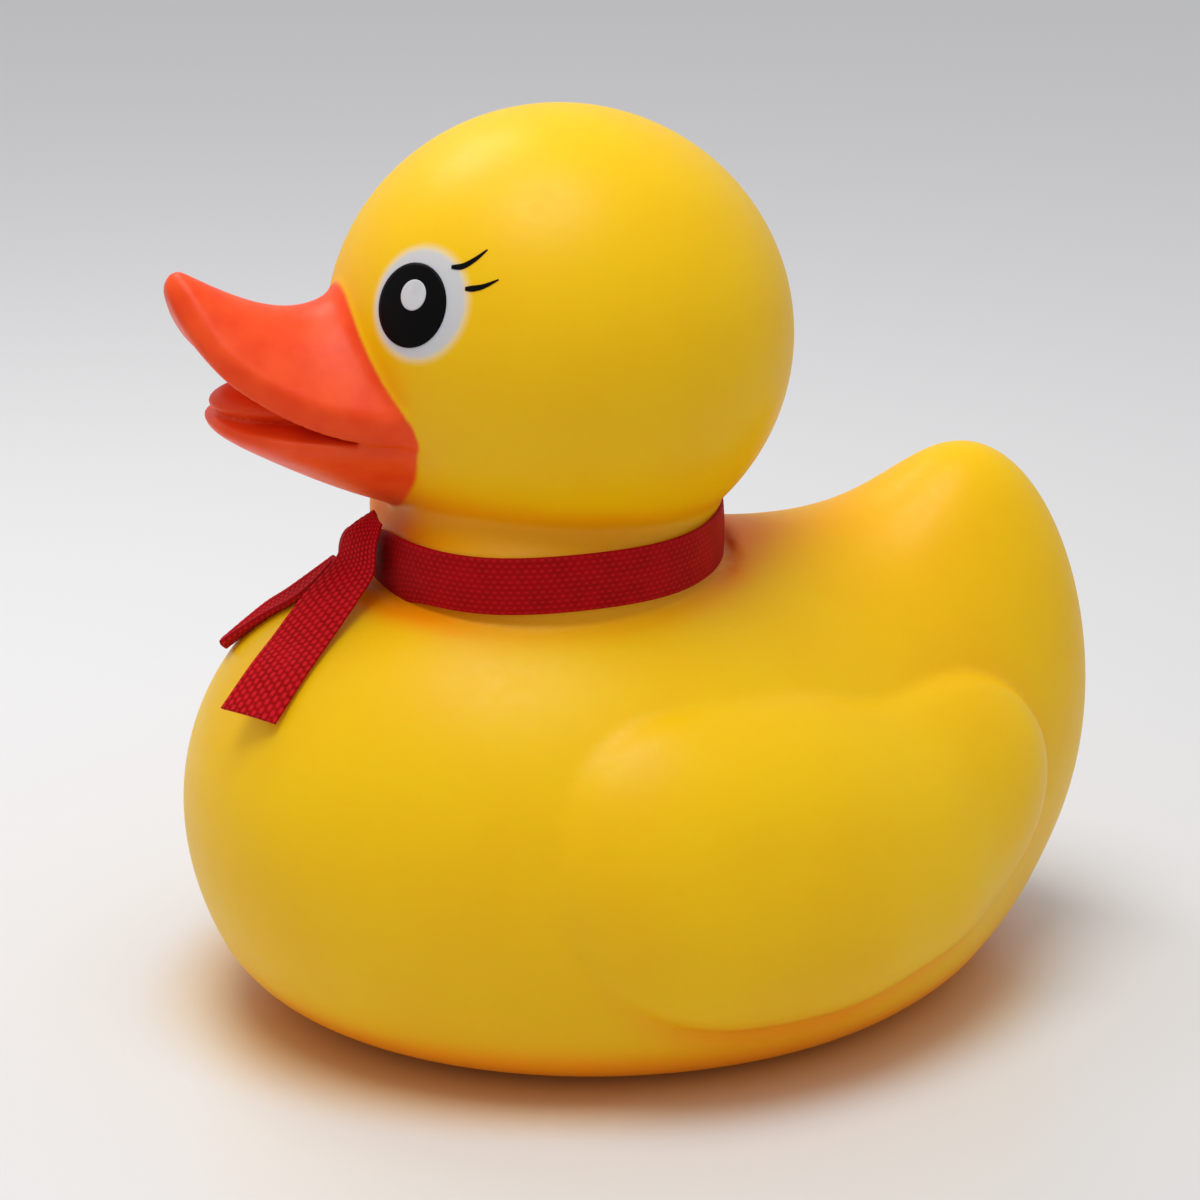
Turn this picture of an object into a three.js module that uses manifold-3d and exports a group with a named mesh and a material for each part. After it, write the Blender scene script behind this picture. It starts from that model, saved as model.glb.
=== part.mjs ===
// A hollow soft-vinyl rubber duck with a ribbon tied round its neck and a squeaker in its base.
// Millimetres, +Z up. The duck faces -Y, its left side is +X, and its base stands on z = 0.
import * as THREE from 'three';
import { mergeVertices } from 'three/addons/utils/BufferGeometryUtils.js';
import Module from 'manifold-3d';

const wasm = await Module();
wasm.setup();

// ---- driving dimensions -------------------------------------------------------------------

const WALL = 2.2;

// The body is three rounded lumps melted together. tilt turns a lump about X, in degrees.
const TRUNK = { centre: [0, -6.3, 16.4], radii: [38.2, 44.6, 33.9], tilt: -16.6 };
const RUMP = { centre: [0, 13.8, 18.4], radii: [24.8, 27.3, 28.9], tilt: 0 };
const TAIL = { centre: [0, 37.7, 34.0], radii: [10.6, 11.6, 21.7], tilt: 5.3 };
const RUMP_BLEND = 8.4;
const TAIL_BLEND = 18.7;
const BASE_ROUNDING = 8.5;
const BODY_CORE = [0, 4, 21];

const HEAD = { centre: [0, -9.65, 71.3], radii: [24.1, 24.1, 23.55], tilt: 0 };

// Each wing is a leaf-shaped pillow, outlined by discs in a plane that leans to the rear.
const WING_LEAN = 25;
const WING_HEIGHT = 3.6;
const WING_ROLL = 0.57;
const WING_DOME = 10;
const WING_DISCS = [[-18.4, 23.9, 15.6], [-6.1, 23.5, 15.4], [7.4, 22.6, 12.6], [17.2, 25.2, 11.2]];
const WING_DISC_BLEND = 6;
const WING_EDGE = 2.2;

// The ribbon sits in a shallow seat round the neck. The seat leans with it.
const RIBBON = { y: -12.9, z: 47.6, radius: 19.6, width: 6, thick: 0.6, lean: 0.8 };
const LEFT_TAIL = [[3.6, -34.9, 50.2], [7.4, -39.3, 45.2], [10.2, -46.1, 37.3]];
const RIGHT_TAIL = [[-0.5, -35.1, 50.0], [-5.0, -39.7, 45.0], [-9.8, -45.2, 38.7]];
const KNOT = { centre: [1.6, -34.7, 50.6], radii: [3.8, 2.1, 3.4] };
const TOUCH_GAP = 0.35;
const NECK_RADIUS = RIBBON.radius - TOUCH_GAP;
const SEAT_RADIUS = 21.6;

// Each half of the bill starts at a root inside the head and runs forward for its length.
// The upper half sweeps up from sweepFrom on and hooks up by hook at its tip. It is arched by
// crown, and by brow more where it meets the head.
const UPPER_BILL = {
  rootY: -24.4, length: 26.3, halfWidth: 13.3, rimZ: 65.45, rimUp: 1.9, rimDown: 1.35,
  sweep: 0.0225, sweepFrom: 5, hook: 2, crown: 5.5, brow: 6, browFrom: 7, browFade: 5,
};
const LOWER_BILL = {
  rootY: -28.4, length: 18.3, halfWidth: 12.3, rimZ: 64.1, tipRise: 1, rootLip: 0.6, tipLip: 1.8,
  rootKeel: 9.1, tipKeel: 2.7, narrowing: 0.6,
};
const TONGUE = { centre: [0, -36, 66.9], radii: [7.4, 10.4, 2.3] };
const BILL_HOLLOW = { centre: [0, -33.2, 70.8], radii: [7, 10, 2.6] };

const SQUEAKER = { y: -6, holeRadius: 6.5, radius: 6.1, height: 5.2, wall: 1.1, recess: 0.6 };
const REED = { radius: 4.6, thick: 0.6, lift: 2.2 };

const YELLOW = { color: 0xf2bb12, roughness: 0.45, metalness: 0 };
const RED = { color: 0x9e0512, roughness: 0.85, metalness: 0 };
const MILKY = { color: 0xe8e6dc, roughness: 0.5, metalness: 0 };
const BRASSY = { color: 0xc9a54a, roughness: 0.35, metalness: 0 };

// ---- smooth forms, as signed distances ----------------------------------------------------

function lumpDistance([x, y, z], { centre, radii, tilt }) {
  const angle = THREE.MathUtils.degToRad(tilt);
  const dy = y - centre[1];
  const dz = z - centre[2];
  const local = [
    x - centre[0],
    dy * Math.cos(angle) + dz * Math.sin(angle),
    dz * Math.cos(angle) - dy * Math.sin(angle),
  ];
  const near = Math.hypot(...local.map((value, i) => value / radii[i]));
  const slope = Math.hypot(...local.map((value, i) => value / radii[i] ** 2));
  return near * (near - 1) / Math.max(slope, 1e-9);
}

function smoothMin(a, b, blend) {
  const overlap = Math.max(blend - Math.abs(a - b), 0) / blend;
  return Math.min(a, b) - overlap * overlap * blend / 4;
}

function smoothMax(a, b, blend) {
  return -smoothMin(-a, -b, blend);
}

function trunkDistance(point) {
  const haunches = smoothMin(lumpDistance(point, TRUNK), lumpDistance(point, RUMP), RUMP_BLEND);
  return smoothMin(haunches, lumpDistance(point, TAIL), TAIL_BLEND);
}

function wingDistance([x, y, z], trunk) {
  const lean = THREE.MathUtils.degToRad(WING_LEAN);
  const along = y * Math.cos(lean) - Math.abs(x) * Math.sin(lean);
  const outline = WING_DISCS
    .map(([u, v, radius]) => Math.hypot(along - u, z - v) - radius)
    .reduce((a, b) => smoothMin(a, b, WING_DISC_BLEND));
  const inward = THREE.MathUtils.clamp(-outline / WING_DOME, 0, 1);
  const relief = WING_HEIGHT * (1 - (1 - inward) ** 2) ** WING_ROLL;
  return smoothMax(trunk - relief, outline, WING_EDGE);
}

function bodyDistance(point) {
  const trunk = trunkDistance(point);
  const winged = Math.min(trunk, wingDistance(point, trunk));
  return smoothMax(winged, -point[2], BASE_ROUNDING);
}

function cavityDistance(point) {
  return smoothMax(trunkDistance(point), -point[2], BASE_ROUNDING) + WALL;
}

// ---- meshes and solids --------------------------------------------------------------------

function solidOf(geometry) {
  const bare = geometry.index ? geometry.clone() : geometry;
  bare.deleteAttribute('normal');
  bare.deleteAttribute('uv');
  const merged = mergeVertices(bare, 1e-4);
  return new wasm.Manifold(new wasm.Mesh({
    numProp: 3,
    vertProperties: new Float32Array(merged.attributes.position.array),
    triVerts: new Uint32Array(merged.index.array),
  }));
}

function meshOf(name, solid, finish) {
  const { vertProperties, triVerts } = solid.getMesh();
  const geometry = new THREE.BufferGeometry();
  geometry.setAttribute('position', new THREE.BufferAttribute(vertProperties, 3));
  geometry.setIndex(new THREE.BufferAttribute(triVerts, 1));
  geometry.computeVertexNormals();
  const mesh = new THREE.Mesh(geometry, new THREE.MeshStandardMaterial(finish));
  mesh.name = name;
  return mesh;
}

// A sphere whose points are moved out from a core until the distance function reaches zero.
function pushedSphere(core, spread, distance, around, along) {
  const geometry = new THREE.SphereGeometry(1, around, along);
  const points = geometry.attributes.position;
  for (let i = 0; i < points.count; i += 1) {
    const ray = new THREE.Vector3().fromBufferAttribute(points, i);
    ray.multiply(spread).normalize();
    const at = (reach) => core.map((value, axis) => value + ray.getComponent(axis) * reach);
    let inside = 0;
    let outside = 90;
    for (let step = 0; step < 40; step += 1) {
      const middle = (inside + outside) / 2;
      if (distance(at(middle)) < 0) inside = middle;
      else outside = middle;
    }
    const [x, y, z] = at(inside);
    points.setXYZ(i, x, y, Math.abs(z) < 0.02 ? 0 : z);
  }
  return geometry;
}

function ellipsoid({ centre, radii }, around, along) {
  return new THREE.SphereGeometry(1, around, along).scale(...radii).translate(...centre);
}

// A turned ring or disc from [radius, z] corners, standing on the Z axis.
function turned(corners, segments = 40) {
  const profile = corners.map(([radius, z]) => new THREE.Vector2(radius, z));
  return new THREE.LatheGeometry(profile, segments).rotateX(Math.PI / 2);
}

function leanWithRibbon(geometry) {
  const angle = THREE.MathUtils.degToRad(RIBBON.lean);
  return geometry.rotateX(angle).translate(0, RIBBON.y, RIBBON.z);
}

// ---- the duck -----------------------------------------------------------------------------

function neck(shrink) {
  const radius = NECK_RADIUS - shrink;
  return leanWithRibbon(turned([
    [0, -9], [radius, -9], [radius, 5.6], [radius - 3.6, 8.6], [radius - 6, 14], [0, 14],
  ]));
}

function ribbonSeat() {
  return leanWithRibbon(turned([
    [0, -TOUCH_GAP], [SEAT_RADIUS, -TOUCH_GAP], [SEAT_RADIUS, 12], [0, 12],
  ]));
}

// The upper bill: an arched blade that sweeps up to its tip, with a thick rounded rim.
function upperBill() {
  const { rootY, length, halfWidth, rimZ, rimUp, rimDown } = UPPER_BILL;
  const { sweep, sweepFrom, hook, crown, brow, browFrom, browFade } = UPPER_BILL;
  const geometry = new THREE.SphereGeometry(1, 28, 16).rotateX(Math.PI / 2);
  const points = geometry.attributes.position;
  for (let i = 0; i < points.count; i += 1) {
    const [a, b, c] = [points.getX(i), points.getY(i), points.getZ(i)];
    const forward = Math.max(-b * length, 0);
    const lift = sweep * Math.max(forward - sweepFrom, 0) ** 2 + hook * (forward / length) ** 14;
    const fall = Math.sqrt(1 - 0.97 * (b * b) ** 4);
    const height = (crown + brow * Math.exp(-Math.max(forward - browFrom, 0) / browFade)) * fall;
    const localWidth = Math.sqrt(Math.max(1 - b * b, 1e-6));
    const arch = height * Math.max(1 - (a / localWidth) ** 2, 0) ** 1.25;
    const edge = Math.sqrt(Math.max(1 - (a * a + b * b) ** 4, 0));
    const z = rimZ + lift + (c > 0 ? arch + rimUp * edge : 0.25 * arch - rimDown * edge);
    points.setXYZ(i, a * halfWidth, rootY + b * length, z);
  }
  return geometry;
}

// The lower bill: a boat-shaped scoop under a low rolled lip, shallower towards its tip.
function lowerBill() {
  const { rootY, length, halfWidth, rimZ, tipRise, rootLip, tipLip } = LOWER_BILL;
  const { rootKeel, tipKeel, narrowing } = LOWER_BILL;
  const geometry = new THREE.SphereGeometry(1, 24, 12).rotateX(Math.PI / 2);
  const points = geometry.attributes.position;
  for (let i = 0; i < points.count; i += 1) {
    const [a, b, c] = [points.getX(i), points.getY(i), points.getZ(i)];
    const forward = Math.max(-b, 0);
    const lip = rootLip + (tipLip - rootLip) * forward;
    const keel = rootKeel + (tipKeel - rootKeel) * forward;
    const narrow = 1 - narrowing * Math.min(c, 0) ** 2;
    const z = rimZ + tipRise * forward ** 2 + (c > 0 ? lip : keel) * c;
    points.setXYZ(i, a * halfWidth * narrow, rootY + b * length, z);
  }
  return geometry;
}

function duckShell() {
  const bodySpread = new THREE.Vector3(36, 48, 27);
  const body = solidOf(pushedSphere(BODY_CORE, bodySpread, bodyDistance, 52, 34));
  const cavity = solidOf(pushedSphere(BODY_CORE, bodySpread, cavityDistance, 24, 16));
  const headHollow = { centre: HEAD.centre, radii: HEAD.radii.map((radius) => radius - WALL) };
  const outside = body
    .subtract(solidOf(ribbonSeat()))
    .add(solidOf(neck(0)))
    .add(solidOf(ellipsoid(HEAD, 32, 20)))
    .add(solidOf(upperBill()))
    .add(solidOf(lowerBill()))
    .add(solidOf(ellipsoid(TONGUE, 14, 8)));
  const inside = cavity
    .add(solidOf(neck(WALL)))
    .add(solidOf(ellipsoid(headHollow, 18, 12)))
    .add(solidOf(ellipsoid(BILL_HOLLOW, 12, 8)));
  const hole = turned([
    [0, -1], [SQUEAKER.holeRadius, -1], [SQUEAKER.holeRadius, 8], [0, 8],
  ], 32).translate(0, SQUEAKER.y, 0);
  return meshOf('duck', outside.subtract(inside).subtract(solidOf(hole)), YELLOW);
}

// ---- the squeaker -------------------------------------------------------------------------

function squeakerCup() {
  const { y, radius, height, wall, recess } = SQUEAKER;
  const ring = turned([
    [1.6, 0], [radius, 0], [radius, height], [radius - wall, height], [radius - wall, wall],
    [1.6, wall], [1.6, 0],
  ], 32);
  return meshOf('squeaker', solidOf(ring.translate(0, y, recess)), MILKY);
}

function squeakerReed() {
  const { y, recess } = SQUEAKER;
  const disc = turned([[0, 0], [REED.radius, 0], [REED.radius, REED.thick], [0, REED.thick]], 24);
  return meshOf('squeaker_reed', solidOf(disc.translate(0, y, recess + REED.lift)), BRASSY);
}

// ---- the ribbon ---------------------------------------------------------------------------

function ribbonBand() {
  const { radius, width, thick } = RIBBON;
  return leanWithRibbon(turned([
    [radius, 0], [radius + thick, 0], [radius + thick, width], [radius, width], [radius, 0],
  ], 56));
}

// A flat strip hanging along a curve; its broad side turns to face along facing.
function ribbonTail(route, facing) {
  const curve = new THREE.CatmullRomCurve3(route.map((point) => new THREE.Vector3(...point)));
  const steps = 10;
  const geometry = new THREE.BoxGeometry(RIBBON.width, RIBBON.thick, 1, 2, 1, steps);
  const points = geometry.attributes.position;
  const normal = new THREE.Vector3(...facing).normalize();
  for (let i = 0; i < points.count; i += 1) {
    const t = points.getZ(i) + 0.5;
    const tangent = curve.getTangentAt(t);
    const across = new THREE.Vector3().crossVectors(normal, tangent).normalize();
    const out = new THREE.Vector3().crossVectors(tangent, across);
    const place = curve.getPointAt(t)
      .addScaledVector(across, points.getX(i))
      .addScaledVector(out, points.getY(i));
    points.setXYZ(i, place.x, place.y, place.z);
  }
  return geometry;
}

function neckRibbon() {
  const knot = ellipsoid(KNOT, 16, 12);
  const leftTail = ribbonTail(LEFT_TAIL, [0.35, -0.75, 0.55]);
  const rightTail = ribbonTail(RIGHT_TAIL, [-0.35, -0.75, 0.55]);
  const ribbon = solidOf(ribbonBand())
    .add(solidOf(knot))
    .add(solidOf(leftTail))
    .add(solidOf(rightTail));
  return meshOf('neck_ribbon', ribbon, RED);
}

// ---- assembly -----------------------------------------------------------------------------

const group = new THREE.Group();
group.add(duckShell(), squeakerCup(), squeakerReed(), neckRibbon());

// The origin is under the middle of the whole object's box.
const box = new THREE.Box3().setFromObject(group);
group.position.y = -(box.min.y + box.max.y) / 2;

export default group;
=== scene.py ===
"""A yellow vinyl bath duck with a painted bill, printed eyes and a red woven ribbon."""
import math

import bmesh
import bpy
import numpy as np
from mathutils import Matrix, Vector


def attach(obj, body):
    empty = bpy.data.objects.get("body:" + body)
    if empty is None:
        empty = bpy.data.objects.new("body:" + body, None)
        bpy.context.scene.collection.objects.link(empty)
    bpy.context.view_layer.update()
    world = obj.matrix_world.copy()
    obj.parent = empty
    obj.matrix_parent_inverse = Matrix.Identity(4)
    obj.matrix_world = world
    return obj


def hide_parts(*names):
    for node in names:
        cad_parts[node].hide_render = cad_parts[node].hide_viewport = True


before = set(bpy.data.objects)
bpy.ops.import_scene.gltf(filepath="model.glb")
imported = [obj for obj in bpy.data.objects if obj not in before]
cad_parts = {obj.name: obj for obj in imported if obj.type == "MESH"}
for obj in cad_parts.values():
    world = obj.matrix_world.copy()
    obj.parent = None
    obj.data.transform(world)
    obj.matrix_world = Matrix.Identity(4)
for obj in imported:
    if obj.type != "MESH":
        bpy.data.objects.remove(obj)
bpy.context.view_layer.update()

MM = 0.001

# ---- the duck's form, in millimetres --------------------------------------------------------

TRUNK = dict(centre=(0, -6.3, 16.4), radii=(38.2, 44.6, 33.9), tilt=-16.6)
RUMP = dict(centre=(0, 13.8, 18.4), radii=(24.8, 27.3, 28.9), tilt=0)
TAIL = dict(centre=(0, 37.7, 34.0), radii=(10.6, 11.6, 21.7), tilt=5.3)
HEAD = dict(centre=(0, -9.65, 71.3), radii=(24.1, 24.1, 23.55), tilt=0)
RUMP_BLEND = 8.4
TAIL_BLEND = 18.7
BASE_ROUNDING = 8.5

WING_LEAN = math.radians(25)
WING_HEIGHT = 3.6
WING_DOME = 10.0
WING_DISCS = ((-18.4, 23.9, 15.6), (-6.1, 23.5, 15.4), (7.4, 22.6, 12.6), (17.2, 25.2, 11.2))
WING_DISC_BLEND = 6
WING_EDGE = 1.3
# The wing's edge is crisp below and behind, and soft in front and above.
WING_CRISP = dict(behind=0.8, below=0.9, level=24, fades=(-20, 3))
WING_ROLL = dict(soft=0.62, crisp=0.52)
WING_SEAM = dict(soft=0.7, crisp=0.35)

BAND = dict(y=-12.9, z=47.6, radius=19.6, width=6.0, thick=0.45, lean=math.radians(0.8))
TOUCH_GAP = 0.35
SEAT_RADIUS = 21.2
NECK = dict(taper_from=5.6, taper=1.2, middle=1, half=10, rounding=2)

# How the knot pulls the band: in towards the neck, gathered and dropped on the far side of the
# knot, and sagging at its lower edge just beside it. Places and spreads are angles round the neck.
KNOT_PULL = dict(spread=0.7, in_by=3.3, gather=2.8, drop=1.2, gather_at=-0.55, gather_spread=0.5,
                 sag=4.0, sag_at=0.03, sag_spread=0.37)

# Each half of the bill starts at a root inside the head and runs forward for its length.
UPPER = dict(root=-24.4, length=26.3, half=13.3, rim_z=65.45, rim_up=1.9, rim_down=1.35,
             sweep=0.0225, sweep_from=5, hook=2.0, crown=5.5, brow=6, brow_from=7, brow_fade=5,
             arch=1.25, hollow=0.25, edge=0.75, tip_edge=3.25, rim_edge=1.2)
LOWER = dict(root=-28.4, length=18.3, half=12.3, rim_z=64.1, root_lip=0.54, tip_lip=1.8,
             root_keel=9.1, tip_keel=2.7, narrowing=0.6, roundness=2.3)
TONGUE = dict(centre=(0, -36.0, 66.9), radii=(7.4, 10.4, 2.3), tilt=0)

HOLE = dict(y=-6.0, radius=6.5, depth=7.0)

# How far each join between two forms is rounded over.
BLEND = dict(seat=1.2, neck=1.0, head=3.0, bill=1.2, lips=0.5, tongue=0.3, hole=0.6)


def lump(p, centre, radii, tilt):
    """Distance to an ellipsoid turned about X by tilt degrees."""
    angle = math.radians(tilt)
    x, y, z = (p[i] - centre[i] for i in range(3))
    y, z = y * math.cos(angle) + z * math.sin(angle), z * math.cos(angle) - y * math.sin(angle)
    near = np.sqrt((x / radii[0]) ** 2 + (y / radii[1]) ** 2 + (z / radii[2]) ** 2)
    slope = np.sqrt((x / radii[0] ** 2) ** 2 + (y / radii[1] ** 2) ** 2 + (z / radii[2] ** 2) ** 2)
    return near * (near - 1) / np.maximum(slope, 1e-9)


def smooth_min(a, b, blend):
    overlap = np.maximum(blend - np.abs(a - b), 0) / blend
    return np.minimum(a, b) - overlap * overlap * blend / 4


def smooth_max(a, b, blend):
    return -smooth_min(-a, -b, blend)


def fade(value, low, high):
    """0 below low, 1 above high, and a smooth step between."""
    t = np.clip((value - low) / (high - low), 0, 1)
    return t * t * (3 - 2 * t)


def mixed(first, second, t):
    return first + (second - first) * t


def trunk_distance(p):
    haunches = smooth_min(lump(p, **TRUNK), lump(p, **RUMP), RUMP_BLEND)
    return smooth_min(haunches, lump(p, **TAIL), TAIL_BLEND)


def wing_outline(p):
    """Distance to the wing's leaf outline seen from the side, and how crisp it is there, 0 to 1."""
    along = p[1] * math.cos(WING_LEAN) - np.abs(p[0]) * math.sin(WING_LEAN)
    outline = None
    for u, v, radius in WING_DISCS:
        disc = np.hypot(along - u, p[2] - v) - radius
        outline = disc if outline is None else smooth_min(outline, disc, WING_DISC_BLEND)
    lower = WING_CRISP["behind"] * along - WING_CRISP["below"] * (p[2] - WING_CRISP["level"])
    return outline, fade(lower, *WING_CRISP["fades"])


def winged_distance(p, trunk):
    """The trunk with its wings: pillows that roll over to a crease, crispest below and behind."""
    outline, crisp = wing_outline(p)
    inward = np.clip(-outline / WING_DOME, 0, 1)
    roll = mixed(WING_ROLL["soft"], WING_ROLL["crisp"], crisp)
    relief = WING_HEIGHT * (1 - (1 - inward) ** 2 + 1e-6) ** roll
    wing = smooth_max(trunk - relief, outline, WING_EDGE)
    return smooth_min(trunk, wing, mixed(WING_SEAM["soft"], WING_SEAM["crisp"], crisp))


def band_frame(p):
    """Radius from the ribbon's own axis, and height above its lower edge."""
    y, z = p[1] - BAND["y"], p[2] - BAND["z"]
    c, s = math.cos(BAND["lean"]), math.sin(BAND["lean"])
    return np.hypot(p[0], y * c + z * s), z * c - y * s


def bump(value, centre, spread):
    """1 where value is at centre, falling away to 0 over spread on each side."""
    return np.exp(-((value - centre) / spread) ** 2)


def drawn_in(angle):
    """1 at the front of the neck, where the knot pulls the ribbon tight, and 0 further round."""
    return bump(angle, 0, KNOT_PULL["spread"])


def neck_distance(p):
    radius, height = band_frame(p)
    radius = radius + KNOT_PULL["in_by"] * drawn_in(np.arctan2(p[0], BAND["y"] - p[1]))
    taper = NECK["taper"] * np.maximum(height - NECK["taper_from"], 0)
    side = radius - (BAND["radius"] - TOUCH_GAP) + taper
    return smooth_max(side, np.abs(height - NECK["middle"]) - NECK["half"], NECK["rounding"])


def outline_distance(x, y, half, length):
    """Distance to an oval outline, seen from above."""
    a, b = x / half, y / length
    spread = np.sqrt(a * a + b * b)
    return spread * (spread - 1) / np.maximum(np.hypot(a / half, b / length), 1e-6)


def upper_bill_distance(p):
    """An arched blade that sweeps up to a blunt tip, with an upright rim under a flared edge."""
    forward = UPPER["root"] - p[1]
    b = forward / UPPER["length"]
    ahead = np.clip(b, 0, 1)
    reach = np.clip(forward, 0, UPPER["length"])
    sweep = UPPER["sweep"] * np.maximum(reach - UPPER["sweep_from"], 0) ** 2
    middle = UPPER["rim_z"] + sweep + UPPER["hook"] * ahead ** 14
    brow = UPPER["brow"] * np.exp(-np.maximum(reach - UPPER["brow_from"], 0) / UPPER["brow_fade"])
    crown = (UPPER["crown"] + brow) * np.sqrt(1 - 0.97 * ahead ** 8)
    local = UPPER["half"] * np.sqrt(np.maximum(1 - b * b, 0.08))
    bell = np.maximum(1 - (p[0] / local) ** 2, 0)
    top = middle + UPPER["rim_up"] + crown * bell ** UPPER["arch"]
    roof = middle - UPPER["rim_down"] + UPPER["hollow"] * crown * bell
    steep = np.sqrt(1 + (2.2 * crown * bell ** 0.25 * p[0] / local ** 2) ** 2)
    plate = smooth_max((p[2] - top) / steep, roof - p[2], UPPER["rim_edge"])
    side = outline_distance(p[0], forward, UPPER["half"], UPPER["length"])
    return smooth_max(plate, side, mixed(UPPER["edge"], UPPER["tip_edge"], fade(ahead, 0.8, 1)))


def lower_bill_distance(p):
    """A boat-shaped scoop: a deep keel that shallows towards the tip, under a low rolled lip."""
    forward = LOWER["root"] - p[1]
    ahead = np.clip(forward / LOWER["length"], 0, 1)
    rise = p[2] - LOWER["rim_z"] - ahead ** 2
    keel = mixed(LOWER["root_keel"], LOWER["tip_keel"], ahead)
    lip = mixed(LOWER["root_lip"], LOWER["tip_lip"], ahead)
    depth = np.where(rise < 0, keel, lip)
    narrowed = 1 - LOWER["narrowing"] * np.clip(-rise / depth, 0, 1) ** 2
    radii = (LOWER["half"] * narrowed, LOWER["length"], depth)
    power = LOWER["roundness"]
    parts = [np.abs(q / r) for q, r in zip((p[0], forward, rise), radii)]
    near = sum(part ** power for part in parts) ** (1 / power)
    slope = np.sqrt(sum((part ** (power - 1) / r) ** 2 for part, r in zip(parts, radii)))
    scoop = (near - 1) * np.maximum(near, 0.05) ** (power - 1) / np.maximum(slope, 1e-6)
    away = outline_distance(p[0], forward, 1.06 * LOWER["half"], 1.06 * LOWER["length"])
    return np.maximum(scoop, away)


def bill_distance(p):
    bill = smooth_min(upper_bill_distance(p), lower_bill_distance(p), BLEND["lips"])
    return smooth_min(bill, lump(p, **TONGUE), BLEND["tongue"])


def duck_distance(p):
    trunk = trunk_distance(p)
    body = winged_distance(p, trunk)
    body = smooth_max(body, -p[2], BASE_ROUNDING)
    radius, height = band_frame(p)
    seat = np.minimum(SEAT_RADIUS - radius, height + TOUCH_GAP)
    body = smooth_max(body, seat, BLEND["seat"])
    torso = smooth_min(body, neck_distance(p), BLEND["neck"])
    torso = smooth_min(torso, lump(p, **HEAD), BLEND["head"])
    whole = smooth_min(torso, bill_distance(p), BLEND["bill"])
    hole = np.maximum(np.hypot(p[0], p[1] - HOLE["y"]) - HOLE["radius"], p[2] - HOLE["depth"])
    return smooth_max(whole, -hole, BLEND["hole"])


# ---- turning a form into a mesh -------------------------------------------------------------

def gradient(form, p, step=0.02):
    slopes = []
    for axis in range(3):
        ahead = [q + step if i == axis else q for i, q in enumerate(p)]
        behind = [q - step if i == axis else q for i, q in enumerate(p)]
        slopes.append((form(ahead) - form(behind)) / (2 * step))
    return np.array(slopes)


def spaced(stretches):
    """Grid lines from end to end, each (start, end, cell) stretch with a cell size of its own."""
    lines = [np.linspace(start, end, round((end - start) / cell), endpoint=False)
             for start, end, cell in stretches]
    return np.append(np.concatenate(lines), stretches[-1][1])


def skin_mesh(form, axes):
    """Corner points and quads of form's zero surface: one point for each cell it passes."""
    shape = tuple(len(axis) for axis in axes)
    values = np.empty(shape, np.float32)
    y, z = np.meshgrid(axes[1], axes[2], indexing="ij")
    for i, x in enumerate(axes[0]):
        values[i] = form([np.full_like(y, x), y, z])
    inside = values < 0
    cells = tuple(n - 1 for n in shape)
    total = np.zeros(cells + (3,), np.float32)
    count = np.zeros(cells, np.int16)
    crossings = []
    for axis in range(3):
        near = [slice(None)] * 3
        far = [slice(None)] * 3
        near[axis], far[axis] = slice(0, -1), slice(1, None)
        a, b = values[tuple(near)], values[tuple(far)]
        edges = np.argwhere(inside[tuple(near)] != inside[tuple(far)])
        va, vb = a[tuple(edges.T)], b[tuple(edges.T)]
        place = np.stack([axes[i][edges[:, i]] for i in range(3)], 1)
        place[:, axis] += va / (va - vb) * np.diff(axes[axis])[edges[:, axis]]
        others = [i for i in range(3) if i != axis]
        corners = []
        for du, dv in ((0, 0), (1, 0), (1, 1), (0, 1)):
            cell = edges.copy()
            cell[:, others[0]] -= du
            cell[:, others[1]] -= dv
            corners.append(cell)
            np.add.at(total, tuple(cell.T), place)
            np.add.at(count, tuple(cell.T), 1)
        crossings.append((corners, (va < 0) == (axis != 1)))
    used = np.argwhere(count > 0)
    number = -np.ones(cells, np.int64)
    number[tuple(used.T)] = np.arange(len(used))
    points = total[tuple(used.T)] / count[tuple(used.T)][:, None]
    quads = []
    for corners, outward in crossings:
        quad = np.stack([number[tuple(c.T)] for c in corners], 1)
        quad[~outward] = quad[~outward][:, ::-1]
        quads.append(quad)
    return settled(form, points, 0.3), np.concatenate(quads)


def settled(form, points, reach):
    """The points moved onto form's zero surface, no further than reach at each step."""
    p = [points[:, i].astype(np.float64) for i in range(3)]
    for _ in range(3):
        slope = gradient(form, p)
        move = form(p) / np.maximum((slope ** 2).sum(0), 0.2)
        move = np.clip(move, -reach, reach)
        p = [p[i] - slope[i] * move for i in range(3)]
    return np.stack(p, 1)


def new_piece(name, points, faces, material):
    mesh = bpy.data.meshes.new(name)
    mesh.from_pydata((np.asarray(points) * MM).tolist(), [], [list(f) for f in faces])
    mesh.polygons.foreach_set("use_smooth", [True] * len(mesh.polygons))
    mesh.materials.append(material)
    mesh.update()
    piece = bpy.data.objects.new(name, mesh)
    bpy.context.scene.collection.objects.link(piece)
    return piece


# ---- materials ------------------------------------------------------------------------------

def plain_material(name, colour, roughness, **inputs):
    material = bpy.data.materials.new(name)
    material.use_nodes = True
    shader = material.node_tree.nodes["Principled BSDF"]
    shader.inputs["Base Color"].default_value = (*colour, 1)
    shader.inputs["Roughness"].default_value = roughness
    for key, value in inputs.items():
        shader.inputs[key.replace("_", " ")].default_value = value
    return material, material.node_tree, shader


def add_node(tree, kind, **settings):
    node = tree.nodes.new(kind)
    for key, value in settings.items():
        setattr(node, key, value)
    return node


def object_place(tree, scale):
    """Object coordinates times scale: the objects sit at the origin, so they are metres."""
    coords = add_node(tree, "ShaderNodeTexCoord")
    mapping = add_node(tree, "ShaderNodeMapping")
    mapping.inputs["Scale"].default_value = (scale, scale, scale)
    tree.links.new(coords.outputs["Object"], mapping.inputs["Vector"])
    return mapping.outputs["Vector"]


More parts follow.
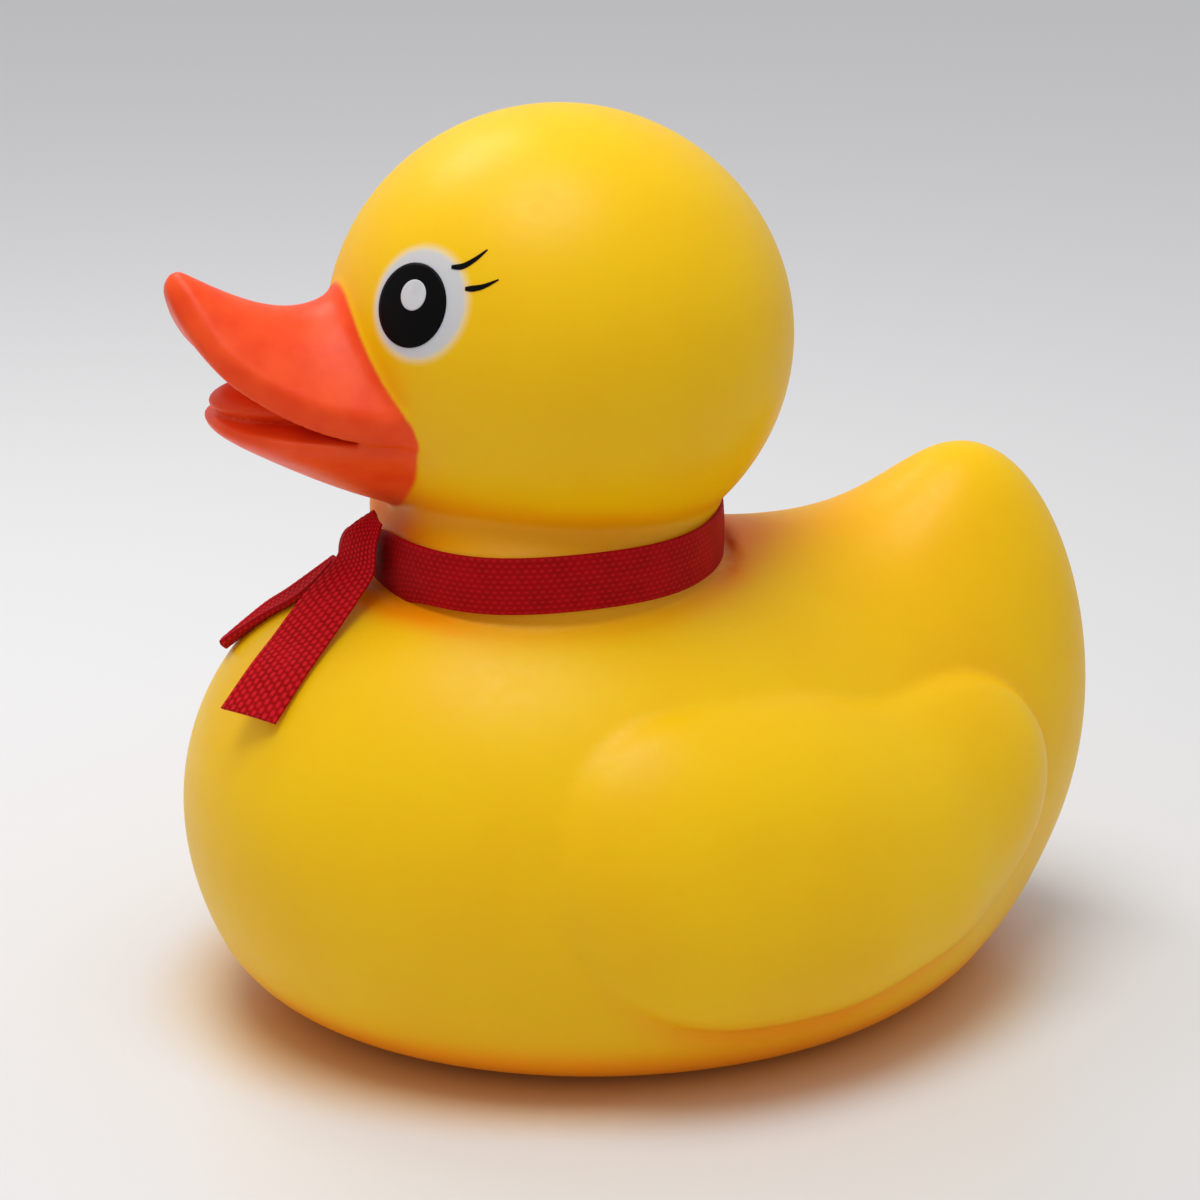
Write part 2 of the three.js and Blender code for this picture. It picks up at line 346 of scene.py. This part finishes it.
def noise(tree, scale, detail=3.0):
    texture = add_node(tree, "ShaderNodeTexNoise")
    texture.inputs["Scale"].default_value = 1.0
    texture.inputs["Detail"].default_value = detail
    tree.links.new(object_place(tree, scale), texture.inputs["Vector"])
    return texture.outputs["Fac"]


def ranged(tree, source, low, high, to_low, to_high):
    node = add_node(tree, "ShaderNodeMapRange", interpolation_type="SMOOTHSTEP")
    names = ("From Min", "From Max", "To Min", "To Max")
    for name, value in zip(names, (low, high, to_low, to_high)):
        node.inputs[name].default_value = value
    tree.links.new(source, node.inputs["Value"])
    return node.outputs["Result"]


def mixed_colour(tree, factor, first, second):
    node = add_node(tree, "ShaderNodeMix", data_type="RGBA")
    for socket, value in (("A", first), ("B", second)):
        target = [i for i in node.inputs if i.name == socket and i.type == "RGBA"][0]
        if hasattr(value, "is_linked"):
            tree.links.new(value, target)
        else:
            target.default_value = (*value, 1)
    tree.links.new(factor, node.inputs["Factor"])
    return [o for o in node.outputs if o.type == "RGBA"][0]


def add_bump(tree, shader, height, distance, strength):
    bump = add_node(tree, "ShaderNodeBump")
    bump.inputs["Distance"].default_value = distance
    bump.inputs["Strength"].default_value = strength
    tree.links.new(height, bump.inputs["Height"])
    tree.links.new(bump.outputs["Normal"], shader.inputs["Normal"])


# ---- the vinyl: sprayed paint, eye whites and painted shade in the folds ---------------------

PAINT_MARGIN = 0.45
PAINT_ROUNDING = 1.6
PAINT_EVENING = 5
MOUTH = dict(centre=(0, -29.4, 64.9), radii=(13.1, 4.6, 4.4), tilt=0)
EYE_WHITE = dict(turn=35.2, rise=18.4, radius=13.3)
YELLOW = (0.93, 0.57, 0.0)
YELLOW_DEEP = (0.90, 0.52, 0.0)
# Painted shade: the amber that the vinyl turns in its folds, under the ribbon and at the base, in
# place of shade and bounce light.
AMBER_PAINTED_SHADE = (0.98, 0.31, 0.0)
ORANGE = (0.92, 0.085, 0.012)
ORANGE_DEEP = (0.85, 0.06, 0.006)
WHITE = (0.62, 0.60, 0.60)
EYE_HALO = (0.85, 0.66, 0.35)
SCATTER = (1.0, 0.35, 0.05)
CLOUD_SCALE, SPRAY_SCALE, GLOSS_SCALE, PORE_SCALE = 45.0, 260.0, 700.0, 900.0
PORE_DEPTH = 0.00004
# How far out the painted shade looks for nearby walls, how much it is smoothed, and the range it is
# mapped over.
PAINTED_SHADE_REACHES = (3.0, 6.0, 10.0)
PAINTED_SHADE_EVENING = 12
PAINTED_SHADE_RANGE = (0.06, 0.72)
# Painted shade along the wing's lower edge: how dark, how much where the edge is soft, where, how
# wide, and the heights over which it fades.
WING_CREASE_SHADE = dict(depth=0.24, least=0.4, at=0.5, spread=1.4, fades=(20, 32))


def vinyl_material():
    """Soft vinyl, and the bill's sprayed paint wherever the paint attribute is below zero."""
    material, tree, shader = plain_material("vinyl", YELLOW, 0.4, Specular_IOR_Level=0.2,
                                            Subsurface_Weight=0.3, Subsurface_Scale=0.006)
    shader.inputs["Subsurface Radius"].default_value = SCATTER
    cloud = ranged(tree, noise(tree, CLOUD_SCALE), 0.3, 0.7, 0, 1)
    yellow = mixed_colour(tree, cloud, YELLOW, YELLOW_DEEP)
    spray = ranged(tree, noise(tree, SPRAY_SCALE), 0.3, 0.7, 0, 1)
    orange = mixed_colour(tree, spray, ORANGE, ORANGE_DEEP)
    paint = add_node(tree, "ShaderNodeAttribute", attribute_name="paint")
    unpainted = ranged(tree, paint.outputs["Fac"], -0.15, 0.15, 0, 1)
    # Painted shade: the folds, the skin under the ribbon and the base are tinted towards amber.
    painted_fold_shade = add_node(tree, "ShaderNodeAttribute", attribute_name="painted_fold_shade")
    painted_fold_mask = ranged(tree, painted_fold_shade.outputs["Fac"], *PAINTED_SHADE_RANGE, 0, 1)
    yellow = mixed_colour(tree, painted_fold_mask, yellow, AMBER_PAINTED_SHADE)
    body = mixed_colour(tree, unpainted, orange, yellow)
    white = add_node(tree, "ShaderNodeAttribute", attribute_name="eye_white")
    halo = mixed_colour(tree, ranged(tree, white.outputs["Fac"], -0.3, 0.9, 0, 1), EYE_HALO, body)
    outside_eye = ranged(tree, white.outputs["Fac"], -0.45, 0.25, 0, 1)
    tree.links.new(mixed_colour(tree, outside_eye, WHITE, halo), shader.inputs["Base Color"])
    rough = ranged(tree, noise(tree, GLOSS_SCALE), 0.25, 0.75, 0.36, 0.44)
    tree.links.new(rough, shader.inputs["Roughness"])
    add_bump(tree, shader, noise(tree, PORE_SCALE, 4.0), PORE_DEPTH, 0.5)
    return material


def paint_distance(p):
    """Below zero where the bill is sprayed: all of it, and a hair of the head round its root."""
    slope = np.sqrt((gradient(bill_distance, p) ** 2).sum(0))
    bill = bill_distance(p) / np.clip(slope, 0.3, 1.4) - PAINT_MARGIN
    return smooth_min(bill, lump(p, **MOUTH), PAINT_ROUNDING)


def painted_fold_shade_depth(p):
    """Painted shade: 0 in the open, towards 1 where another wall of the duck, the ribbon or the
    base is close.
    """
    slope = gradient(duck_distance, p)
    slope /= np.maximum(np.sqrt((slope ** 2).sum(0)), 1e-6)
    depth = 0
    for reach in PAINTED_SHADE_REACHES:
        out = [p[i] + slope[i] * reach for i in range(3)]
        radius, height = band_frame(out)
        off_middle = np.abs(height - BAND["width"] / 2)
        band = np.maximum(np.abs(radius - BAND["radius"]) - 0.9, off_middle - 3.2)
        space = np.minimum(np.minimum(duck_distance(out), band), out[2] + 1)
        depth = depth + np.clip(1 - space / reach, 0, 1) / len(PAINTED_SHADE_REACHES)
    return depth


def evened(values, quads, rounds):
    """Each point's value averaged with its neighbours', rounds times over."""
    for _ in range(rounds):
        total, count = values.copy(), np.ones_like(values)
        for k in range(4):
            np.add.at(total, quads[:, k], values[quads[:, (k + 1) % 4]])
            np.add.at(count, quads[:, k], 1)
        values = total / count
    return values


def eye_distance(p):
    """Distance to the edge of the nearer eye's white, measured over the head."""
    turn, rise = math.radians(EYE_WHITE["turn"]), math.radians(EYE_WHITE["rise"])
    way = (math.sin(turn) * math.cos(rise), -math.cos(turn) * math.cos(rise), math.sin(rise))
    out = [(p[i] - HEAD["centre"][i]) / HEAD["radii"][i] for i in range(3)]
    size = np.sqrt(sum(q * q for q in out))
    facing = (np.abs(out[0]) * way[0] + out[1] * way[1] + out[2] * way[2]) / size
    angle = np.arccos(np.clip(facing, -1, 1))
    return (angle - math.radians(EYE_WHITE["radius"])) * HEAD["radii"][0]


def skin_grid(coarseness):
    """Small cells round the bill and the eyes, larger ones over the back and sides."""
    fine, medium, coarse = 0.45 * coarseness, 0.7 * coarseness, 0.95 * coarseness
    return (spaced([(-43.2, -15, coarse), (-15, 15, fine), (15, 43.2, coarse)]),
            spaced([(-53, -26, fine), (-26, 53.5, coarse)]),
            spaced([(-1.3, 16, medium), (16, 54, coarse), (54, 84, fine), (84, 97, coarse)]))


def painted_wing_crease_shade(p):
    """Painted shade: a dark line round the wing's lower edge, where it rolls over onto the body."""
    outline, crisp = wing_outline(p)
    line = bump(outline, WING_CREASE_SHADE["at"], WING_CREASE_SHADE["spread"])
    strength = WING_CREASE_SHADE["depth"] * mixed(WING_CREASE_SHADE["least"], 1, crisp)
    return strength * line * (1 - fade(p[2], *WING_CREASE_SHADE["fades"]))


def add_attribute(piece, name, values):
    attribute = piece.data.attributes.new(name, "FLOAT", "POINT")
    attribute.data.foreach_set("value", values.astype(np.float32))


def build_skin():
    points, quads = skin_mesh(duck_distance, skin_grid(1.0))
    skin = new_piece("duck_skin", points, quads, vinyl_material())
    place = [points[:, i] for i in range(3)]
    paint = np.clip(paint_distance(place), -1, 1)
    add_attribute(skin, "paint", evened(paint, quads, PAINT_EVENING))
    # Painted shade for the folds, with the painted crease line round each wing added on.
    painted_fold_shades = evened(painted_fold_shade_depth(place), quads, PAINTED_SHADE_EVENING)
    add_attribute(skin, "painted_fold_shade", painted_fold_shades + painted_wing_crease_shade(place))
    add_attribute(skin, "eye_white", np.clip(eye_distance(place), -2, 2))
    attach(skin, "root")
    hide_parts("duck")


# ---- the eyes: pad-printed ink, a few hundredths proud of the head ---------------------------

EYE_BLACK = dict(turn=33.3, rise=17.7, radius=10.2, layer=0.08)
EYE_GLINT = dict(turn=33.8, rise=20.1, radius=3.7, layer=0.11)
UPPER_LASH = ((43.3, 28.0), (46.5, 28.5), (49.7, 30.5), (52.6, 33.1))
LOWER_LASH = ((48.4, 23.2), (50.9, 23.5), (53.6, 24.3), (57.0, 26.0))
LASH_WIDTH = 0.65
LASH_STEPS = 28
INK_ROOT = -0.25
LASH_LAYER = 0.05
EYE_RINGS = 12
EYE_SPOKES = 72


def on_head(turn, rise, lift):
    """A point of the head, turn degrees round from the bill and rise degrees up."""
    a, e = math.radians(turn), math.radians(rise)
    way = (math.sin(a) * math.cos(e), -math.cos(a) * math.cos(e), math.sin(e))
    return np.array([HEAD["centre"][i] + way[i] * (HEAD["radii"][i] + lift) for i in range(3)])


def eye_disc(name, turn, rise, radius, layer, side, material):
    """A round patch of ink that follows the head, with a thin edge that meets the vinyl."""
    rings, spokes = EYE_RINGS, EYE_SPOKES
    a, e = math.radians(turn), math.radians(rise)
    way = Vector((math.sin(a) * math.cos(e), -math.cos(a) * math.cos(e), math.sin(e)))
    across = way.cross(Vector((0, 0, 1))).normalized()
    up = across.cross(way)
    points, faces = [], []

    def place(ring, spoke, lift):
        angle = math.radians(radius) * ring / rings
        turnround = 2 * math.pi * spoke / spokes
        off = across * math.cos(turnround) + up * math.sin(turnround)
        ray = way * math.cos(angle) + off * math.sin(angle)
        p = [HEAD["centre"][i] + ray[i] * (HEAD["radii"][i] + lift) for i in range(3)]
        return (p[0] * side, p[1], p[2])

    for under in (False, True):
        start = len(points)
        lift = INK_ROOT if under else layer
        points.append(place(0, 0, lift))
        for ring in range(1, rings + 1):
            edge = 0.02 if ring == rings and not under else 0
            points.extend(place(ring, spoke, lift - edge) for spoke in range(spokes))
        for spoke in range(spokes):
            nxt = (spoke + 1) % spokes
            faces.append((start, start + 1 + spoke, start + 1 + nxt))
            for ring in range(rings - 1):
                k = start + 1 + ring * spokes
                faces.append((k + spoke, k + spokes + spoke, k + spokes + nxt, k + nxt))
        if (side < 0) != under:
            faces[-spokes * rings:] = [f[::-1] for f in faces[-spokes * rings:]]
    rim = 1 + (rings - 1) * spokes
    back = len(points) // 2
    for spoke in range(spokes):
        nxt = (spoke + 1) % spokes
        wall = (rim + spoke, back + rim + spoke, back + rim + nxt, rim + nxt)
        faces.append(wall if side > 0 else wall[::-1])
    ink_piece(name, points, faces, material)


def ink_piece(name, points, faces, material):
    piece = new_piece(name, points, faces, material)
    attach(piece, "root")
    return piece


def curve_through(stops, t):
    """A smooth run through a few stops, at t from 0 to 1 (Catmull-Rom)."""
    stops = np.asarray(stops, float)
    ends = np.vstack([2 * stops[0] - stops[1], stops, 2 * stops[-1] - stops[-2]])
    place = np.clip(t, 0, 1) * (len(stops) - 1)
    k = min(int(place), len(stops) - 2)
    f = place - k
    a, b, c, d = ends[k:k + 4]
    bend = (2 * a - 5 * b + 4 * c - d) * f ** 2
    twist = (3 * b - a - 3 * c + d) * f ** 3
    return 0.5 * (2 * b + (c - a) * f + bend + twist)


def lash(name, stops, side, material):
    """One printed stroke along a few (turn, rise) stops, tapering to its tip."""
    steps = LASH_STEPS
    points, faces = [], []
    for step in range(steps + 1):
        t = step / steps
        turn, rise = curve_through(stops, t)
        ahead = on_head(*curve_through(stops, min(t + 0.02, 1)), 0)
        behind = on_head(*curve_through(stops, max(t - 0.02, 0)), 0)
        middle = on_head(turn, rise, 0)
        out = middle - np.array(HEAD["centre"])
        out /= np.linalg.norm(out)
        along = ahead - behind
        along /= np.linalg.norm(along)
        across = np.cross(out, along)
        swell = 0.55 + 0.45 * math.sin(math.pi * min(t / 0.35, 1) / 2)
        width = LASH_WIDTH * swell * (1 - 0.8 * t ** 2.2)
        for sideways, under in ((0.5, False), (-0.5, False), (-0.5, True), (0.5, True)):
            lift = INK_ROOT if under else LASH_LAYER
            p = middle + across * sideways * width + out * lift
            points.append((p[0] * side, p[1], p[2]))
    for step in range(steps):
        k = 4 * step
        for i in range(4):
            j = (i + 1) % 4
            faces.append((k + i, k + 4 + i, k + 4 + j, k + j))
    faces.append((0, 1, 2, 3))
    faces.append(tuple(4 * steps + i for i in (3, 2, 1, 0)))
    if side > 0:
        faces = [f[::-1] for f in faces]
    piece = ink_piece(name, points, faces, material)
    piece.data.polygons.foreach_set("use_smooth", [False] * len(piece.data.polygons))


def ink_material(name, colour, roughness):
    material, tree, shader = plain_material(name, colour, roughness, Specular_IOR_Level=0.04)
    tint = ranged(tree, noise(tree, 500.0), 0.3, 0.7, 0, 1)
    darker = tuple(c * 0.92 for c in colour)
    tree.links.new(mixed_colour(tree, tint, colour, darker), shader.inputs["Base Color"])
    return material


def build_eyes():
    black = ink_material("ink_black", (0.004, 0.004, 0.004), 0.35)
    glint = ink_material("ink_glint", (0.62, 0.62, 0.63), 0.4)
    for side, which in ((1, "left"), (-1, "right")):
        eye_disc(f"eye_black_{which}", side=side, material=black, **EYE_BLACK)
        eye_disc(f"eye_glint_{which}", side=side, material=glint, **EYE_GLINT)
        lash(f"upper_lash_{which}", UPPER_LASH, side, black)
        lash(f"lower_lash_{which}", LOWER_LASH, side, black)


# ---- the ribbon: one woven strip, tied at the front ------------------------------------------

WEFT_PITCH = 0.78
WARP_PITCH = 0.55
WEAVE_HEIGHT = 0.07
WEAVE_STEP = 0.16
BAND_STEP = 0.2
NEAR_CUP = 0.35
FAR_CUP = -0.8
BAND_MARGIN = 0.15
BAND_SWELL = dict(bulge=0.12, twist=0.10, wave=0.12)
KNOT = dict(centre=(2.0, -32.1, 50.2), radii=(3.4, 1.7, 3.0), pleat=0.06)
KNOT_AROUND, KNOT_DOWN = 72, 40
RIBBON_RED = (0.38, 0.0, 0.002)
RIBBON_RED_DEEP = (0.32, 0.0, 0.001)
# Painted sheen: the lighter red put on the crowns of the raised threads.
RIBBON_PAINTED_SHEEN = (0.66, 0.010, 0.018)

NEAR_RAILS = (
    ((3.2, -30.4, 55.0), (3.6, -33.4, 53.3), (4.0, -34.9, 50.4),
     (5.5, -39.2, 46.8), (6.5, -42.3, 43.6), (7.5, -45.0, 41.0), (8.5, -48.1, 37.5)),
    ((6.5, -30.6, 54.6), (7.4, -31.4, 52.6), (8.2, -31.9, 50.0),
     (8.9, -33.9, 47.4), (9.9, -36.9, 44.0), (11.0, -39.8, 40.9), (12.4, -43.4, 36.6)),
)
FAR_RAILS = (
    ((-3.6, -33.2, 48.6), (-5.6, -35.2, 46.4), (-7.6, -37.4, 44.1), (-9.2, -39.2, 42.4),
     (-10.8, -41.2, 40.2), (-12.2, -43.6, 37.7)),
    ((1.0, -34.6, 49.4), (0.0, -36.4, 47.0), (-1.5, -38.4, 44.9), (-3.5, -40.4, 43.2),
     (-5.5, -42.6, 41.2), (-7.6, -44.8, 39.0)),
)


def weave(u, v):
    """Height of the cloth u mm along and v mm across: rows of long knuckles, set like bricks."""
    row = np.floor(v / WARP_PITCH)
    fu = (u / WEFT_PITCH + 0.5 * (row % 2)) % 1 * 2 - 1
    fv = (v / WARP_PITCH) % 1 * 2 - 1
    return WEAVE_HEIGHT * np.sqrt(np.clip(1 - fu ** 2, 0, 1)) * np.clip(1 - fv ** 4, 0, 1)


def strip_piece(name, grid, length, material, loop=False, shine=1.0):
    """A woven strip over a grid of points (along, across, xyz), closed all round.

    shine says how much painted sheen its raised threads get."""
    n, m = grid.shape[:2]
    if loop:
        du = np.roll(grid, -1, 0) - np.roll(grid, 1, 0)
    else:
        du = np.gradient(grid, axis=0)
    normal = np.cross(du, np.gradient(grid, axis=1))
    normal /= np.linalg.norm(normal, axis=2, keepdims=True)
    u, v = np.meshgrid(np.arange(n) * length / n, np.linspace(0, BAND["width"], m), indexing="ij")
    height = weave(u, v)[..., None]
    edge = (np.minimum(v, BAND["width"] - v) < 0.01)[..., None]
    half = BAND["thick"] / 2
    top = grid + normal * np.where(edge, half * 0.4, half + height)
    bottom = grid - normal * np.where(edge, half * 0.4, half + height)
    points = np.concatenate([top.reshape(-1, 3), bottom.reshape(-1, 3)])
    under = n * m
    faces = []
    rows = n if loop else n - 1
    for i in range(rows):
        a, b = i * m, (i + 1) % n * m
        for j in range(m - 1):
            faces.append((a + j, b + j, b + j + 1, a + j + 1))
            faces.append((under + a + j + 1, under + b + j + 1, under + b + j, under + a + j))
        faces.append((a, under + a, under + b, b))
        faces.append((b + m - 1, under + b + m - 1, under + a + m - 1, a + m - 1))
    if not loop:
        last = (n - 1) * m
        for j in range(m - 1):
            faces.append((j + 1, under + j + 1, under + j, j))
            faces.append((last + j, under + last + j, under + last + j + 1, last + j + 1))
    piece = new_piece(name, points, faces, material)
    # The crown attribute carries the painted sheen of the threads, scaled by shine.
    add_attribute(piece, "crown", np.tile(height.ravel() * shine / WEAVE_HEIGHT, 2))
    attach(piece, "root")
    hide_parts("neck_ribbon")


def band_grid(step):
    """The turn round the neck. It leans a little, and swells out between its edges."""
    around = int(2 * math.pi * BAND["radius"] / step)
    across = int(BAND["width"] / (step * 0.9)) + 1
    a = np.linspace(-math.pi, math.pi, around, endpoint=False)[:, None]
    h = np.linspace(0, 1, across)[None, :]
    pull = drawn_in(a)
    swell = BAND_SWELL["bulge"] * np.sin(math.pi * h)
    swell = swell + BAND_SWELL["twist"] * np.sin(3 * a + 1) * (h - 0.5)
    radius = BAND["radius"] + BAND["thick"] / 2 + 0.05 + swell - KNOT_PULL["in_by"] * pull
    x = radius * np.sin(a)
    y = -radius * np.cos(a)
    gathered = bump(a, KNOT_PULL["gather_at"], KNOT_PULL["gather_spread"])
    sagging = bump(a, KNOT_PULL["sag_at"], KNOT_PULL["sag_spread"])
    width = BAND["width"] - BAND_MARGIN - KNOT_PULL["gather"] * gathered
    z = BAND_MARGIN + h * width + BAND_SWELL["wave"] * np.sin(5 * a) * (1 - pull)
    z = z - KNOT_PULL["sag"] * sagging * (1 - h) - KNOT_PULL["drop"] * gathered
    c, s = math.cos(BAND["lean"]), math.sin(BAND["lean"])
    return np.stack([x, BAND["y"] + y * c - z * s, BAND["z"] + y * s + z * c], 2)


def rail_grid(rails, cup, step):
    """A strip between two edges, bowed out by cup at its middle."""
    length = sum(np.linalg.norm(np.subtract(b, a)) for a, b in zip(rails[0], rails[0][1:]))
    along, across = int(length / step), int(BAND["width"] / (step * 0.9)) + 1
    t = np.linspace(0, 1, along)
    first = np.array([curve_through(rails[0], k) for k in t])[:, None]
    second = np.array([curve_through(rails[1], k) for k in t])[:, None]
    h = np.linspace(0, 1, across)[None, :, None]
    flat = first * (1 - h) + second * h
    normal = np.cross(np.gradient(flat, axis=0), np.gradient(flat, axis=1))
    normal /= np.linalg.norm(normal, axis=2, keepdims=True)
    return flat + normal * cup * 4 * h * (1 - h), length


def knot_piece(material):
    """The tucked middle of the knot: a pleated lump under the two tails."""
    n, m = KNOT_AROUND, KNOT_DOWN
    points, faces = [], []
    for i in range(n):
        for j in range(m + 1):
            a, b = 2 * math.pi * i / n, math.pi * j / m
            pleat = 1 + KNOT["pleat"] * math.sin(5 * a + 2 * math.cos(b))
            out = math.sin(b) * pleat
            way = (out * math.cos(a), out * math.sin(a), math.cos(b))
            points.append([c + r * w for c, r, w in zip(KNOT["centre"], KNOT["radii"], way)])
    for i in range(n):
        a, b = i * (m + 1), (i + 1) % n * (m + 1)
        for j in range(m):
            faces.append((a + j, a + j + 1, b + j + 1, b + j))
    piece = new_piece("ribbon_knot", points, faces, material)
    work = bmesh.new()
    work.from_mesh(piece.data)
    bmesh.ops.remove_doubles(work, verts=work.verts, dist=1e-7)
    bmesh.ops.recalc_face_normals(work, faces=work.faces)
    work.to_mesh(piece.data)
    work.free()
    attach(piece, "root")
    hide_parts("neck_ribbon")


def ribbon_material():
    material, tree, shader = plain_material("ribbon", RIBBON_RED, 0.6, Sheen_Weight=0.02,
                                            Sheen_Roughness=0.4, Specular_IOR_Level=0.08)
    tint = ranged(tree, noise(tree, 400.0), 0.35, 0.65, 0, 1)
    ground = mixed_colour(tree, tint, RIBBON_RED, RIBBON_RED_DEEP)
    # Painted sheen: the higher a thread's crown, the lighter its red.
    crown = add_node(tree, "ShaderNodeAttribute", attribute_name="crown")
    painted_sheen_mask = ranged(tree, crown.outputs["Fac"], 0.45, 1.0, 0, 1)
    tree.links.new(mixed_colour(tree, painted_sheen_mask, ground, RIBBON_PAINTED_SHEEN), shader.inputs["Base Color"])
    return material


def build_ribbon():
    step = WEAVE_STEP
    material = ribbon_material()
    band = band_grid(max(step, BAND_STEP))
    strip_piece("ribbon_band", band, 2 * math.pi * BAND["radius"], material, loop=True, shine=0.75)
    ends = (("ribbon_near_end", NEAR_RAILS, NEAR_CUP), ("ribbon_far_end", FAR_RAILS, FAR_CUP))
    for name, rails, cup in ends:
        grid, length = rail_grid(rails, cup, step)
        strip_piece(name, grid, length, material)
    knot_piece(material)


# ---- the squeaker ---------------------------------------------------------------------------

SQUEAKER_FINISHES = (("squeaker", (0.8, 0.78, 0.7), 0.45),
                     ("squeaker_reed", (0.7, 0.5, 0.2), 0.4))


def dress_squeaker():
    """The cup and its reed stay as the CAD made them, each with a finish of its own."""
    for name, colour, roughness in SQUEAKER_FINISHES:
        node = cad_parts[name]
        material, tree, shader = plain_material(name, colour, roughness)
        rough = ranged(tree, noise(tree, 800.0), 0.3, 0.7, roughness - 0.06, roughness + 0.06)
        tree.links.new(rough, shader.inputs["Roughness"])
        node.data.materials.clear()
        node.data.materials.append(material)


build_skin()
build_eyes()
build_ribbon()
dress_squeaker()

# ---- stage: camera and lamps in metres, the floor's sizes in millimetres ----------------------

CAMERA_AZIMUTH = math.radians(72)
CAMERA_ELEVATION = math.radians(18)
CAMERA_DISTANCE = 0.3604
CAMERA_AIM = Vector((0, -0.0053, 0.0420))
CAMERA_LENS = 102
SENSOR_WIDTH = 36

FLOOR = (0.76, 0.755, 0.75)
# Painted shadow: the warm contact shadow and bounce light coloured into the floor round the duck,
# its radii, shift and fade.
FLOOR_PAINTED_SHADOW = (0.76, 0.53, 0.20)
PAINTED_SHADOW_RADII = (33, 41)
PAINTED_SHADOW_SHIFT = 4
PAINTED_SHADOW_FADE = (0.9, 1.32)
FLOOR_HALF = 3000

SKY = dict(colour=(0.96, 0.965, 1.0, 1), strength=0.56)
OVERHEAD = dict(location=(0.08, -0.10, 0.66), target=(0, 0, 0.04), size=0.40, power=2.3)
GLOW = dict(location=(-0.15, -0.07, 0.26), target=(-0.15, -0.07, 0), size=0.12, power=0.2)


def add_camera():
    data = bpy.data.cameras.new("camera")
    data.sensor_width = SENSOR_WIDTH
    data.lens = CAMERA_LENS
    camera = bpy.data.objects.new("camera", data)
    bpy.context.scene.collection.objects.link(camera)
    back = Vector((math.sin(CAMERA_AZIMUTH) * math.cos(CAMERA_ELEVATION),
                   -math.cos(CAMERA_AZIMUTH) * math.cos(CAMERA_ELEVATION),
                   math.sin(CAMERA_ELEVATION)))
    camera.location = CAMERA_AIM + back * CAMERA_DISTANCE
    camera.rotation_euler = back.to_track_quat("Z", "Y").to_euler()
    bpy.context.scene.camera = camera


def add_area(name, location, target, size, power):
    data = bpy.data.lights.new(name, "AREA")
    data.shape = "DISK"
    data.size = size
    data.energy = power
    lamp = bpy.data.objects.new(name, data)
    lamp.location = location
    direction = Vector(location) - Vector(target)
    lamp.rotation_euler = direction.to_track_quat("Z", "Y").to_euler()
    bpy.context.scene.collection.objects.link(lamp)


def add_floor():
    """A pale sheet, with a warm shadow and bounce light painted close round the duck, like the
    light that comes off its underside.
    """
    material, tree, shader = plain_material("backdrop", FLOOR, 0.32, Specular_IOR_Level=0.5)
    spread = add_node(tree, "ShaderNodeMapping")
    spread.inputs["Location"].default_value = (0, PAINTED_SHADOW_SHIFT / PAINTED_SHADOW_RADII[1], 0)
    spread.inputs["Scale"].default_value = (1000 / PAINTED_SHADOW_RADII[0], 1000 / PAINTED_SHADOW_RADII[1], 0)
    tree.links.new(add_node(tree, "ShaderNodeTexCoord").outputs["Object"], spread.inputs["Vector"])
    away = add_node(tree, "ShaderNodeVectorMath", operation="LENGTH")
    tree.links.new(spread.outputs["Vector"], away.inputs[0])
    # Painted shadow: warm near the duck, fading to the plain floor further out.
    outside_painted_shadow = ranged(tree, away.outputs["Value"], *PAINTED_SHADOW_FADE, 0, 1)
    tree.links.new(mixed_colour(tree, outside_painted_shadow, FLOOR_PAINTED_SHADOW, FLOOR), shader.inputs["Base Color"])
    signs = ((-1, -1), (1, -1), (1, 1), (-1, 1))
    corners = [(x * FLOOR_HALF, y * FLOOR_HALF, 0) for x, y in signs]
    floor = new_piece("floor", corners, [(0, 1, 2, 3)], material)


def add_world():
    world = bpy.data.worlds.new("studio")
    world.use_nodes = True
    background = world.node_tree.nodes["Background"]
    background.inputs["Color"].default_value = SKY["colour"]
    background.inputs["Strength"].default_value = SKY["strength"]
    bpy.context.scene.world = world


bpy.context.scene.view_settings.view_transform = "Standard"
add_camera()
add_floor()
add_world()
add_area("overhead", **OVERHEAD)
add_area("glow", **GLOW)
